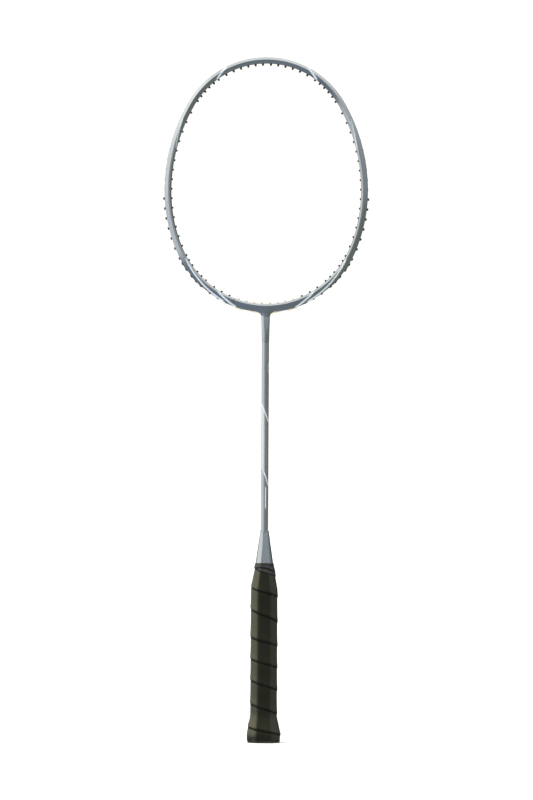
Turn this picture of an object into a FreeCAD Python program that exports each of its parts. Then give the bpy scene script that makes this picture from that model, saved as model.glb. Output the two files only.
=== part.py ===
import FreeCAD, Part
import math
import os
from collections import namedtuple

import Sketcher
from FreeCAD import Placement, Rotation, Vector

# Unstrung badminton racket, in millimetres. It stands on its butt: the origin is the centre of the
# butt's end face, +Z runs up the shaft to the head, +X across the head, and -Y is the front face.
# The hoop's centreline lies in the XZ plane, as a chain of tangent arcs.

DIMENSIONS = [
    # Hoop centreline: two crown arcs, four side arcs and two heel arcs, tangent to each other.
    ("crown_z", 672.1, "top of the hoop's centreline"),
    ("wide_z", 543.5, "height where the head is widest"),
    ("heel_z", 429.1, "bottom of the hoop's centreline"),
    ("hoop_half", 97.2, "half of the head's width, to the centreline"),
    ("crown_radius", 85.3, "arc over the top of the head"),
    ("heel_radius", 92.5, "arc across the bottom of the head"),
    # Hoop section: a bevelled box with a narrow flat at the front and at the back.
    ("tube_width", 6.8, "across the tube, in the plane of the head"),
    ("tube_depth", 10.0, "front to back"),
    ("tube_apex", 2.0, "width of the narrow front and back flats"),
    ("tube_flat", 4.0, "depth of the flats inside and outside the head"),
    ("tube_round", 0.9, "rounding of the section's corners"),
    ("tube_wall", 1.3, "wall of the hollow tube"),
    ("cavity_round", 0.3, "rounding of the cavity's corners"),
    ("cavity_apex", 1.2, "width of the cavity's narrow front and back flats"),
    ("cavity_flat", 2.83, "depth of the cavity's flats inside and outside the head"),
    ("cavity_depth", 7.01, "the cavity, front to back"),
    ("groove_depth", 0.8, "string groove round the upper half of the head"),
    ("groove_half", 1.7, "half of the groove's width"),
    # Throat: the stub below the hoop that takes the shaft.
    ("throat_z", 394.0, "lower end of the stub"),
    ("throat_end_half", 3.7, "half width at its lower end"),
    ("throat_half", 4.4, "half width where it starts to flare"),
    ("throat_flare", 9.0, "radius of the flare into the hoop"),
    ("throat_depth", 8.4, "front to back"),
    ("throat_round", 3.3, "rounding of its long edges"),
    ("socket_runout", 10.0, "how far the shaft's socket is cut past the stub's lower end"),
    # T joint and shaft.
    ("arm_angle", 23.0, "turn of the two arms along the heel arc together, in degrees"),
    ("stem_radius", 2.2, "stem of the T, and the shaft's bore"),
    ("stem_z", 372.0, "lower end of the stem"),
    ("shaft_radius", 3.5, "outside of the shaft"),
    ("shaft_top_z", 415.0, "upper end of the shaft, inside the throat"),
    ("shaft_low_z", 96.0, "lower end of the shaft, inside the handle"),
    # Cone cap between handle and shaft.
    ("cone_top_z", 209.5, "highest points of the rim"),
    ("cone_top_radius", 4.1, "outside at the rim"),
    ("cone_base_radius", 8.7, "outside at the base"),
    ("cone_wall", 1.4, "wall of the cap"),
    ("cone_seat_z", 198.0, "top of the handle's tenon inside the cap"),
    ("cone_notch", 3.5, "depth of the V cut in the rim, front and back"),
    ("tenon_inset", 1.92, "tenon's step in from the grip's outside, at the cone cap's base"),
    ("tenon_foot_inset", 3.2, "the same, at the foot of the tenon"),
    ("panel_base", 8.0, "front flat's distance from the axis, at the base"),
    ("panel_top", 4.15, "front flat's distance from the axis, at the rim"),
    # Handle, as the outside of the grip: half width and half depth at each station.
    ("butt_z", 2.0, "top of the butt cap's plate"),
    ("butt_half", 16.3, "half width there"),
    ("butt_deep", 14.8, "half depth there"),
    ("bulge_z", 8.0, "widest place of the flare"),
    ("bulge_half", 16.7, "half width there"),
    ("bulge_deep", 15.2, "half depth there"),
    ("flare_z", 16.0, "middle of the flare"),
    ("flare_half", 15.3, "half width there"),
    ("flare_deep", 13.8, "half depth there"),
    ("waist_z", 26.0, "where the straight grip starts"),
    ("waist_half", 13.2, "half width there"),
    ("waist_deep", 11.7, "half depth there"),
    ("shoulder_z", 151.0, "where the straight grip ends"),
    ("shoulder_half", 13.2, "half width there"),
    ("shoulder_deep", 11.7, "half depth there"),
    ("neck_z", 164.0, "middle of the taper"),
    ("neck_half", 11.0, "half width there"),
    ("neck_deep", 10.4, "half depth there"),
    ("band_z", 168.0, "lower edge of the finishing tape"),
    ("band_half", 10.2, "half width there"),
    ("band_deep", 9.9, "half depth there"),
    ("tip_z", 177.0, "upper end of the grip, where the cone cap sits"),
    ("tip_half", 8.3, "half width there"),
    ("tip_deep", 8.3, "half depth there"),
    ("bevel_share", 0.5, "corner cut of the octagon, as a share of its half depth"),
    ("grip_layer", 1.6, "thickness of the wound grip tape"),
    ("finish_layer", 0.3, "thickness of the finishing tape"),
    ("hollow_radius", 7.5, "weight-saving bore up the handle"),
    ("hollow_top_z", 92.0, "upper end of that bore"),
    ("plate_half", 15.2, "butt cap's end face, half width"),
    ("plate_deep", 13.7, "butt cap's end face, half depth"),
    ("plug_length", 9.0, "butt cap's plug, inside the bore"),
    # Grommets: a tube through the hoop with a conical nose inside and a head outside.
    ("nose_length", 1.4, "how far a grommet shows inside the head"),
    ("nose_radius", 0.85, "the nose's small end"),
    ("barrel_radius", 1.15, "the grommet's tube through the hoop"),
    ("string_radius", 0.55, "the hole that the string runs through"),
    ("cap_radius", 1.5, "the grommet's outer head, where it sits"),
    ("cap_top_radius", 1.125, "the head's outer end"),
    ("sunk_height", 0.7, "height of a head that sits in the groove"),
    ("proud_height", 1.2, "height of a head that stands on the hoop"),
    ("strip_height", 0.6, "thickness of the strip that joins grommets"),
    ("strip_half", 1.1, "half width of that strip"),
    ("strip_end", 2.0, "how far a strip runs past its last grommets"),
    ("saddle_height", 1.4, "height of a raised saddle between two grommets"),
    ("saddle_end", 0.6, "how far a saddle runs past its grommets"),
    # String holes: where each row starts and how far apart its holes are.
    ("crown_first", 4.1, "main strings at the crown, across the head"),
    ("crown_pitch", 7.5, "step between them"),
    ("shoulder_first", 52.9, "shoulder pairs, along the hoop from the crown"),
    ("shoulder_pitch", 6.2, "step between them"),
    ("side_first", 622.4, "cross strings, down the head"),
    ("side_pitch", 9.6, "step between them"),
    ("low_side_first", 252.7, "pair that follows them, along the hoop"),
    ("low_side_pitch", 6.3, "step between them"),
    ("quarter_first", 267.3, "three close ones, along the hoop"),
    ("quarter_pitch", 6.3, "step between them"),
    ("lower_first", 290.8, "three wide ones, along the hoop"),
    ("lower_pitch", 9.1, "step between them"),
    ("throat_first", 27.9, "main strings at the throat, across the head"),
    ("throat_pitch", 8.0, "step between them"),
    ("throat_lean", 24.0, "how far the grommet beside the throat leans away from it, in degrees"),
]

# A row of string holes on one side of the head: its node, the prefix of its cells, how many holes,
# how they are spaced, whether the heads sit sunk in the groove or proud on the hoop, the strips
# that join grommets (first and last of each), the raised saddles on them, and how far each grommet
# leans away from the throat, as a share of throat_lean.
HoleRow = namedtuple("HoleRow", "node prefix count spacing seat strips saddles leans")
HOLE_ROWS = [
    HoleRow("crown_grommets", "crown", 6, "across", "sunk", [], [], []),
    HoleRow("shoulder_grommet_strip", "shoulder", 6, "along", "sunk", [(0, 1), (2, 3), (4, 5)], [], []),
    HoleRow("side_grommets", "side", 16, "down", "mixed", [], [], []),
    HoleRow("lower_side_strip", "low_side", 2, "along", "proud", [(0, 1)], [], []),
    HoleRow("quarter_strip", "quarter", 3, "along", "proud", [(0, 2)], [], []),
    HoleRow("lower_grommets", "lower", 3, "along", "proud", [], [], []),
    HoleRow("throat_grommet_strip", "throat", 4, "inward", "proud", [(0, 3)], [(0, 1), (2, 3)], [0, 0, 0.4, 1]),
]
SIDES = [("left", -1), ("right", 1)]

# Clearances that pick the stub's long edges by their middles, and the smallest length and volume
# that count, in mm and mm3.
LONG_EDGE_CLEAR_BELOW = 1.0
LONG_EDGE_CLEAR_ABOVE = 2.2
TOLERANCE = 0.01
SMALLEST_POCKET = 10.0

doc = FreeCAD.newDocument("badminton_racket")
dims = doc.addObject("Spreadsheet::Sheet", "dims")
for row, (alias, value, note) in enumerate(DIMENSIONS, start=1):
    dims.set(f"A{row}", alias)
    dims.set(f"B{row}", str(value))
    dims.set(f"C{row}", note)
    dims.setAlias(f"B{row}", alias)
doc.recompute()


def size(expression):
    """The value of an expression that names sheet cells as dims.alias."""
    return float(dims.evalExpression(expression))


# ---------------------------------------------------------------- sketches and features


def origin_plane(body, role):
    return next(item for item in body.Origin.OriginFeatures if item.Role == role)


def add_sketch(body, name, role, height=None):
    """A sketch on one of the body's own origin planes, raised along its normal by an expression."""
    sketch = body.newObject("Sketcher::SketchObject", name)
    sketch.AttachmentSupport = [(origin_plane(body, role), "")]
    sketch.MapMode = "FlatFace"
    if height is not None:
        sketch.setExpression("AttachmentOffset.Base.z", height)
    return sketch


def bind(sketch, kind, *items):
    """Add a constraint whose last item is an expression, and bind it to the sheet."""
    index = sketch.addConstraint(Sketcher.Constraint(kind, *items[:-1], size(items[-1])))
    sketch.setExpression(f"Constraints[{index}]", items[-1])


def fix_point(sketch, geometry, end, across, up):
    """Hold one end of a geometry at a place given by two expressions."""
    bind(sketch, "DistanceX", -1, 1, geometry, end, across)
    bind(sketch, "DistanceY", -1, 1, geometry, end, up)


def add_polygon(sketch, corners):
    """A closed outline of straight lines through corners, each a pair of expressions."""
    places = [Vector(size(across), size(up), 0) for across, up in corners]
    following = places[1:] + places[:1]
    lines = [sketch.addGeometry(Part.LineSegment(a, b)) for a, b in zip(places, following)]
    for line, after, (across, up) in zip(lines, lines[1:] + lines[:1], corners):
        sketch.addConstraint(Sketcher.Constraint("Coincident", line, 2, after, 1))
        fix_point(sketch, line, 1, across, up)


def add_rounded_polygon(sketch, corners, radius):
    """A closed outline through corners, counter-clockwise, each corner rounded by the same radius."""
    places = [Vector(size(across), size(up), 0) for across, up in corners]
    rounding = size(radius)
    points = []
    for place, (across, up) in zip(places, corners):
        point = sketch.addGeometry(Part.Point(place), True)
        fix_point(sketch, point, 1, across, up)
        points.append(point)
    starts, ends, centres = [], [], []
    for before, place, after in zip(places[-1:] + places[:-1], places, places[1:] + places[:1]):
        arriving = (place - before).normalize()
        leaving = (after - place).normalize()
        half_turn = arriving.getAngle(leaving) / 2
        setback = rounding * math.tan(half_turn)
        ends.append(place - arriving * setback)
        starts.append(place + leaving * setback)
        centres.append(ends[-1] + Vector(-arriving.y, arriving.x, 0) * rounding)
    lines = []
    for start, end in zip(starts, ends[1:] + ends[:1]):
        lines.append(sketch.addGeometry(Part.LineSegment(start, end)))
    for i, (end, start, centre) in enumerate(zip(ends, starts, centres)):
        first = math.atan2(end.y - centre.y, end.x - centre.x)
        last = math.atan2(start.y - centre.y, start.x - centre.x)
        circle = Part.Circle(centre, Vector(0, 0, 1), rounding)
        arc = sketch.addGeometry(Part.ArcOfCircle(circle, first, last))
        sketch.addConstraint(Sketcher.Constraint("Tangent", lines[i - 1], 2, arc, 1))
        sketch.addConstraint(Sketcher.Constraint("Tangent", arc, 2, lines[i], 1))
        bind(sketch, "Radius", arc, radius)
        sketch.addConstraint(Sketcher.Constraint("PointOnObject", points[i], 1, lines[i - 1]))
        sketch.addConstraint(Sketcher.Constraint("PointOnObject", points[i], 1, lines[i]))


def add_circle(sketch, radius):
    """A circle about the sketch's origin."""
    circle = sketch.addGeometry(Part.Circle(Vector(0, 0, 0), Vector(0, 0, 1), size(radius)))
    sketch.addConstraint(Sketcher.Constraint("Coincident", circle, 3, -1, 1))
    bind(sketch, "Radius", circle, radius)


def add_pad(body, name, sketch, length, both_ways=False):
    pad = body.newObject("PartDesign::Pad", name)
    pad.Profile = (sketch, [""])
    pad.SideType = "Symmetric" if both_ways else "One side"
    pad.setExpression("Length", length)
    return pad


def add_pocket(body, name, sketch, length, both_ways=False):
    """A pocket that runs down from its sketch, against the sketch's normal, or both ways."""
    pocket = body.newObject("PartDesign::Pocket", name)
    pocket.Profile = (sketch, [""])
    pocket.SideType = "Symmetric" if both_ways else "One side"
    pocket.Reversed = False
    pocket.setExpression("Length", length)
    return pocket


def add_revolution(body, name, sketch, axis, angle=360.0):
    turned = body.newObject("PartDesign::Revolution", name)
    turned.Profile = (sketch, [""])
    turned.ReferenceAxis = (sketch, [axis])
    turned.Angle = angle
    return turned


def new_body(name):
    body = doc.addObject("PartDesign::Body", name)
    body.Label = name
    return body


def new_cut(name, base, tool):
    cut = doc.addObject("Part::Cut", name)
    cut.Base = base
    cut.Tool = tool
    return cut


def new_group(kind, name, members):
    """A Part::Compound or a Part::MultiFuse of several objects."""
    group = doc.addObject(kind, name)
    if kind == "Part::Compound":
        group.Links = members
    else:
        group.Shapes = members
    return group


def place_copy(name, source, placement):
    copy = doc.addObject("App::Link", name)
    copy.LinkedObject = source
    copy.Placement = placement
    return copy


# ---------------------------------------------------------------- the hoop's centreline


class HoopArc:
    """One arc of the right half: centre in the XZ plane, radius, and its turn from first to last.

    The turn is the outward normal's angle from +Z towards +X, in radians.
    """

    def __init__(self, centre_x, centre_z, radius, first, last):
        self.centre = Vector(centre_x, 0, centre_z)
        self.radius = radius
        self.first = first
        self.last = last
        self.length = radius * (last - first)

    def point(self, turn, outward=0.0):
        reach = self.radius + outward
        return self.centre + Vector(math.sin(turn), 0, math.cos(turn)) * reach


def side_radius(height, end_radius):
    """The arc at the side that meets an end arc and the widest place, tangent to both."""
    half = size("dims.hoop_half")
    rise = height - end_radius
    return (rise**2 + half**2 - end_radius**2) / (2 * (half - end_radius))


def hoop_arcs():
    """The four arcs of the right half, from the crown round to the heel."""
    half, wide = size("dims.hoop_half"), size("dims.wide_z")
    crown, crown_radius = size("dims.crown_z"), size("dims.crown_radius")
    heel, heel_radius = size("dims.heel_z"), size("dims.heel_radius")
    upper = side_radius(crown - wide, crown_radius)
    lower = side_radius(wide - heel, heel_radius)
    shoulder_turn = math.asin((upper - half) / (upper - crown_radius))
    quarter_turn = math.pi - math.asin((lower - half) / (lower - heel_radius))
    return [
        HoopArc(0, crown - crown_radius, crown_radius, 0, shoulder_turn),
        HoopArc(half - upper, wide, upper, shoulder_turn, math.pi / 2),
        HoopArc(half - lower, wide, lower, math.pi / 2, quarter_turn),
        HoopArc(0, heel + heel_radius, heel_radius, quarter_turn, math.pi),
    ]


ARCS = hoop_arcs()


def arc_at(length):
    """The arc that holds a length measured from the crown, and the turn there."""
    for arc in ARCS[:-1]:
        if length <= arc.length:
            return arc, arc.first + length / arc.radius
        length -= arc.length
    return ARCS[-1], ARCS[-1].first + length / ARCS[-1].radius


def length_at(arc, turn):
    """The length from the crown to a turn on one of the arcs."""
    before = sum(other.length for other in ARCS[: ARCS.index(arc)])
    return before + arc.radius * (turn - arc.first)


def length_across(distance, arc):
    """The length from the crown to the place on an end arc at a distance from the middle."""
    turn = math.asin(distance / arc.radius)
    return length_at(arc, turn if arc is ARCS[0] else math.pi - turn)


def length_down(height):
    """The length from the crown to the place on a side arc at a height."""
    arc = ARCS[1] if height > size("dims.wide_z") else ARCS[2]
    return length_at(arc, math.acos((height - arc.centre.z) / arc.radius))


def row_lengths(prefix, count, spacing):
    """Where a row's holes are, as lengths from the crown."""
    first, pitch = size(f"dims.{prefix}_first"), size(f"dims.{prefix}_pitch")
    if spacing == "across":
        return [length_across(first + i * pitch, ARCS[0]) for i in range(count)]
    if spacing == "inward":
        return [length_across(first - i * pitch, ARCS[3]) for i in range(count)]
    if spacing == "down":
        return [length_down(first - i * pitch) for i in range(count)]
    return [first + i * pitch for i in range(count)]


def hoop_placement(length, side, lean=0.0):
    """A frame on the centreline: its Z axis points outward, across the tube.

    A grommet that leans keeps its nose in place, and its head moves towards the crown.
    """
    arc, turn = arc_at(length)
    nose = -size("dims.tube_width / 2 + dims.nose_length")
    nose_point = arc.point(turn, nose)
    turn -= math.radians(lean)
    point = nose_point - Vector(math.sin(turn), 0, math.cos(turn)) * nose
    rotation = Rotation(Vector(0, 1, 0), side * math.degrees(turn))
    return Placement(Vector(side * point.x, 0, point.z), rotation)


# ---------------------------------------------------------------- hoop


def tube_section(middle, outside):
    """Corners of the tube's section, or of its cavity, about a height."""
    if outside:
        width, depth = "dims.tube_width / 2", "dims.tube_depth / 2"
        apex, flat = "dims.tube_apex / 2", "dims.tube_flat / 2"
    else:
        width, depth = "(dims.tube_width / 2 - dims.tube_wall)", "dims.cavity_depth / 2"
        apex, flat = "dims.cavity_apex / 2", "dims.cavity_flat / 2"
    quarter = [(depth, apex), (flat, width)]
    corners = [(across, f"{middle} + {up}") for across, up in quarter]
    corners += [(f"-1 * {across}", f"{middle} + {up}") for across, up in reversed(quarter)]
    corners += [(f"-1 * {across}", f"{middle} - {up}") for across, up in quarter]
    corners += [(across, f"{middle} - {up}") for across, up in reversed(quarter)]
    return corners


def add_hoop_path(sketch):
    """The closed centreline: four tangent arcs on each side, meeting at the crown and the heel."""
    crown_start = None
    heel_end = None
    for side in (1, -1):
        pieces = []
        for arc in ARCS:
            centre = Vector(side * arc.centre.x, arc.centre.z, 0)
            first, last = math.pi / 2 - arc.last, math.pi / 2 - arc.first
            if side < 0:
                first, last = math.pi - last, math.pi - first
            circle = Part.Circle(centre, Vector(0, 0, 1), arc.radius)
            pieces.append(sketch.addGeometry(Part.ArcOfCircle(circle, first, last)))
        # An arc runs counter-clockwise, so on the right each ends nearer the crown than it starts.
        near, far = (2, 1) if side > 0 else (1, 2)
        crown, upper, lower, heel = pieces
        for piece, after in zip(pieces, pieces[1:]):
            sketch.addConstraint(Sketcher.Constraint("Tangent", piece, far, after, near))
        if side > 0:
            fix_point(sketch, crown, near, "0 * dims.crown_z", "dims.crown_z")
            fix_point(sketch, heel, far, "0 * dims.heel_z", "dims.heel_z")
            crown_start, heel_end = crown, heel
        else:
            sketch.addConstraint(Sketcher.Constraint("Coincident", crown, near, crown_start, 2))
            sketch.addConstraint(Sketcher.Constraint("Coincident", heel, far, heel_end, 1))
        sketch.addConstraint(Sketcher.Constraint("PointOnObject", crown, 3, -2))
        sketch.addConstraint(Sketcher.Constraint("PointOnObject", heel, 3, -2))
        bind(sketch, "Radius", crown, "dims.crown_radius")
        bind(sketch, "Radius", heel, "dims.heel_radius")
        fix_point(sketch, upper, far, f"{side} * dims.hoop_half", "dims.wide_z")
        bind(sketch, "DistanceY", -1, 1, upper, 3, "dims.wide_z")


def hollow_tube():
    body = new_body("hoop_tube")
    path = add_sketch(body, "hoop_path", "XZ_Plane")
    add_hoop_path(path)
    kinds = [("tube", "PartDesign::AdditivePipe", True), ("cavity", "PartDesign::SubtractivePipe", False)]
    for name, kind, outside in kinds:
        section = add_sketch(body, f"{name}_section", "YZ_Plane")
        add_rounded_polygon(section, tube_section("dims.crown_z", outside), f"dims.{name}_round")
        doc.recompute()
        sweep = body.newObject(kind, f"{name}_sweep")
        sweep.Profile = (section, [""])
        sweep.Spine = (path, [""])
        doc.recompute()
    return body


def throat_stub():
    """The stub under the hoop: a slight taper, flared by two arcs into the hoop's outer face."""
    body = new_body("throat_stub")
    sketch = add_sketch(body, "throat_outline", "XZ_Plane")
    ring_z, ring_radius = "dims.heel_z + dims.heel_radius", "dims.heel_radius + dims.tube_width / 2"
    flare = size("dims.throat_flare")
    reach = size(ring_radius) + flare
    offset = size("dims.throat_half") + flare
    flare_z = size(ring_z) - math.sqrt(reach**2 - offset**2)
    contact = math.asin(offset / reach)
    tapers, risers = [], []
    for side in (1, -1):
        low = Vector(side * size("dims.throat_end_half"), size("dims.throat_z"), 0)
        start = Vector(side * size("dims.throat_half"), flare_z, 0)
        centre = Vector(side * offset, flare_z, 0)
        ring_centre = Vector(0, size(ring_z), 0)
        touch = centre + (ring_centre - centre).normalize() * flare
        taper = sketch.addGeometry(Part.LineSegment(low, start))
        circle = Part.Circle(centre, Vector(0, 0, 1), flare)
        if side > 0:
            arc = sketch.addGeometry(Part.ArcOfCircle(circle, math.pi / 2 + contact, math.pi))
            upper_end, lower_end = 1, 2
        else:
            arc = sketch.addGeometry(Part.ArcOfCircle(circle, 0, math.pi / 2 - contact))
            upper_end, lower_end = 2, 1
        spoke = sketch.addGeometry(Part.LineSegment(ring_centre, centre), True)
        riser = sketch.addGeometry(Part.LineSegment(touch, Vector(touch.x, size("dims.heel_z"), 0)))
        fix_point(sketch, taper, 1, f"{side} * dims.throat_end_half", "dims.throat_z")
        bind(sketch, "DistanceX", -1, 1, taper, 2, f"{side} * dims.throat_half")
        sketch.addConstraint(Sketcher.Constraint("Tangent", taper, 2, arc, lower_end))
        bind(sketch, "Radius", arc, "dims.throat_flare")
        fix_point(sketch, spoke, 1, "0 * dims.heel_z", ring_z)
        sketch.addConstraint(Sketcher.Constraint("Coincident", spoke, 2, arc, 3))
        bind(sketch, "Distance", spoke, f"{ring_radius} + dims.throat_flare")
        sketch.addConstraint(Sketcher.Constraint("PointOnObject", arc, upper_end, spoke))
        sketch.addConstraint(Sketcher.Constraint("Coincident", arc, upper_end, riser, 1))
        sketch.addConstraint(Sketcher.Constraint("Vertical", riser))
        bind(sketch, "DistanceY", -1, 1, riser, 2, "dims.heel_z")
        tapers.append(taper)
        risers.append(riser)
    for ends, end in ((tapers, 1), (risers, 2)):
        joining = sketch.addGeometry(Part.LineSegment(*[sketch.getPoint(item, end) for item in ends]))
        sketch.addConstraint(Sketcher.Constraint("Coincident", joining, 1, ends[0], end))
        sketch.addConstraint(Sketcher.Constraint("Coincident", joining, 2, ends[1], end))
    pad = add_pad(body, "throat_pad", sketch, "dims.throat_depth", both_ways=True)
    doc.recompute()
    # The long edges are those on the front and back faces that are neither at the lower end nor
    # up inside the hoop.
    lowest = size("dims.throat_z") + LONG_EDGE_CLEAR_BELOW
    highest = size("dims.heel_z") - LONG_EDGE_CLEAR_ABOVE
    long_edges = []
    for number, edge in enumerate(pad.Shape.Edges, start=1):
        middle = edge.CenterOfMass
        on_face = abs(abs(middle.y) - size("dims.throat_depth") / 2) < TOLERANCE
        if on_face and lowest < middle.z < highest:
            long_edges.append(f"Edge{number}")
    rounding = body.newObject("PartDesign::Fillet", "throat_rounding")
    rounding.Base = (pad, long_edges)
    rounding.setExpression("Radius", "dims.throat_round")
    return body


def band_solid(first, last, inner, outer, half_depth, side):
    """A flat band round part of the hoop, between two lengths and two distances outward."""
    solids = []
    begin = 0.0
    for arc in ARCS:
        low = max(first - begin, 0.0)
        high = min(last - begin, arc.length)
        begin += arc.length
        if high - low < TOLERANCE:
            continue
        start_turn = arc.first + low / arc.radius
        inside, outside = arc.point(start_turn, inner), arc.point(start_turn, outer)
        depth = Vector(0, half_depth, 0)
        corners = [inside - depth, outside - depth, outside + depth, inside + depth]
        wire = Part.makePolygon(corners + corners[:1])
        sweep = math.degrees((high - low) / arc.radius)
        solids.append(Part.Face(wire).revolve(arc.centre, Vector(0, 1, 0), sweep))
    band = solids[0].fuse(solids[1:]) if len(solids) > 1 else solids[0]
    if side < 0:
        band = band.mirror(Vector(0, 0, 0), Vector(1, 0, 0))
    return band


def add_band(name, first, last, inner, outer, half_depth, side):
    feature = doc.addObject("Part::Feature", name)
    feature.Shape = band_solid(first, last, inner, outer, half_depth, side)
    return feature


def t_joint():
    """Two arms that fill the hoop's cavity at the heel, and a stem that runs into the shaft."""
    body = new_body("t_joint_blank")
    arms = add_sketch(body, "arm_section", "YZ_Plane")
    add_rounded_polygon(arms, tube_section("dims.heel_z", False), "dims.cavity_round")
    centre = size("dims.heel_z + dims.heel_radius")
    axis = arms.addGeometry(Part.LineSegment(Vector(-5, centre, 0), Vector(5, centre, 0)), True)
    arms.addConstraint(Sketcher.Constraint("Horizontal", axis))
    fix_point(arms, axis, 1, "-1 * dims.tube_depth / 2", "dims.heel_z + dims.heel_radius")
    bind(arms, "DistanceX", -1, 1, axis, 2, "dims.tube_depth / 2")
    turned = add_revolution(body, "arms", arms, "Axis0")
    turned.setExpression("Angle", "dims.arm_angle")
    turned.Midplane = True
    stem = add_sketch(body, "stem_section", "XY_Plane", "dims.stem_z")
    add_circle(stem, "dims.stem_radius")
    add_pad(body, "stem", stem, "dims.heel_z - dims.stem_z")
    return body


def shaft():
    """A hollow tube from inside the handle up into the throat."""
    body = new_body("shaft")
    section = add_sketch(body, "shaft_section", "XY_Plane", "dims.shaft_low_z")
    add_circle(section, "dims.shaft_radius")
    add_circle(section, "dims.stem_radius")
    add_pad(body, "shaft_length", section, "dims.shaft_top_z - dims.shaft_low_z")
    return body


def shaft_socket():
    """The space that the shaft fills in the throat."""
    socket = doc.addObject("Part::Cylinder", "shaft_socket")
    socket.setExpression("Radius", "dims.shaft_radius")
    socket.setExpression("Height", "dims.shaft_top_z - dims.throat_z + dims.socket_runout")
    socket.setExpression("Placement.Base.z", "dims.throat_z - dims.socket_runout")
    return socket


# ---------------------------------------------------------------- handle

STATIONS = ["butt", "bulge", "flare", "waist", "shoulder", "neck", "band", "tip"]


def octagon(half, deep):
    """Corners of an octagon with equal bevels, counter-clockwise."""
    bevel = f"dims.bevel_share * ({deep})"
    quarter = [(half, f"{deep} - {bevel}"), (f"{half} - {bevel}", deep)]
    corners = list(quarter)
    corners += [(f"-1 * ({across})", up) for across, up in reversed(quarter)]
    corners += [(f"-1 * ({across})", f"-1 * ({up})") for across, up in quarter]
    corners += [(across, f"-1 * ({up})") for across, up in reversed(quarter)]
    return corners


def add_station_loft(body, name, stations, layer, kind="PartDesign::AdditiveLoft"):
    """A loft through the handle's stations, its outside moved outward by an expression."""
    sketches = []
    for station in stations:
        sketch = add_sketch(body, f"{name}_{station}", "XY_Plane", f"dims.{station}_z")
        half, deep = f"dims.{station}_half + {layer}", f"dims.{station}_deep + {layer}"
        add_polygon(sketch, octagon(half, deep))
        sketches.append(sketch)
    loft = body.newObject(kind, name)
    loft.Profile = (sketches[0], [""])
    loft.Sections = [(sketch, [""]) for sketch in sketches[1:]]
    loft.Ruled = True
    return loft


def handle_core():
    """Wooden octagon with a flared butt, a tenon for the cone cap, and two bores on its axis."""
    body = new_body("handle_core")
    add_station_loft(body, "core_loft", STATIONS, "-1 * dims.grip_layer")
    tenon = add_sketch(body, "tenon_half", "XZ_Plane")
    slope = "(dims.cone_base_radius - dims.cone_top_radius) / (dims.cone_top_z - dims.tip_z)"
    top_radius = f"dims.cone_base_radius - dims.cone_wall - {slope} * (dims.cone_seat_z - dims.tip_z)"
    foot_z = "dims.band_z"
    add_polygon(tenon, [
        ("0 * dims.tip_z", foot_z),
        ("dims.band_deep - dims.tenon_foot_inset", foot_z),
        ("dims.tip_deep - dims.tenon_inset", "dims.tip_z"),
        (top_radius, "dims.cone_seat_z"),
        ("0 * dims.tip_z", "dims.cone_seat_z"),
    ])
    add_revolution(body, "tenon", tenon, "V_Axis")
    bore = add_sketch(body, "shaft_bore_section", "XY_Plane", "dims.cone_seat_z")
    add_circle(bore, "dims.shaft_radius")
    add_pocket(body, "shaft_bore", bore, "dims.cone_seat_z - dims.hollow_top_z")
    hollow = add_sketch(body, "hollow_section", "XY_Plane", "dims.hollow_top_z")
    add_circle(hollow, "dims.hollow_radius")
    add_pocket(body, "hollow", hollow, "dims.hollow_top_z")
    return body


def butt_cap():
    """End plate with a rounded-off rim, and a plug that fits the handle's bore."""
    body = new_body("butt_cap")
    face = add_sketch(body, "plate_face", "XY_Plane")
    add_polygon(face, octagon("dims.plate_half", "dims.plate_deep"))
    rim = add_sketch(body, "plate_rim", "XY_Plane", "dims.butt_z")
    add_polygon(rim, octagon("dims.butt_half", "dims.butt_deep"))
    plate = body.newObject("PartDesign::AdditiveLoft", "plate")
    plate.Profile = (face, [""])
    plate.Sections = [(rim, [""])]
    plate.Ruled = True
    plug = add_sketch(body, "plug_section", "XY_Plane", "dims.butt_z")
    add_circle(plug, "dims.hollow_radius")
    add_pad(body, "plug", plug, "dims.plug_length")
    return body


def wound_layer(name, stations, inner, outer):
    """A tape layer wound on the handle, between two distances from the grip's outside."""
    body = new_body(name)
    add_station_loft(body, f"{name}_outside", stations, outer)
    add_station_loft(body, f"{name}_inside", stations, inner, "PartDesign::SubtractiveLoft")
    return body


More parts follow.
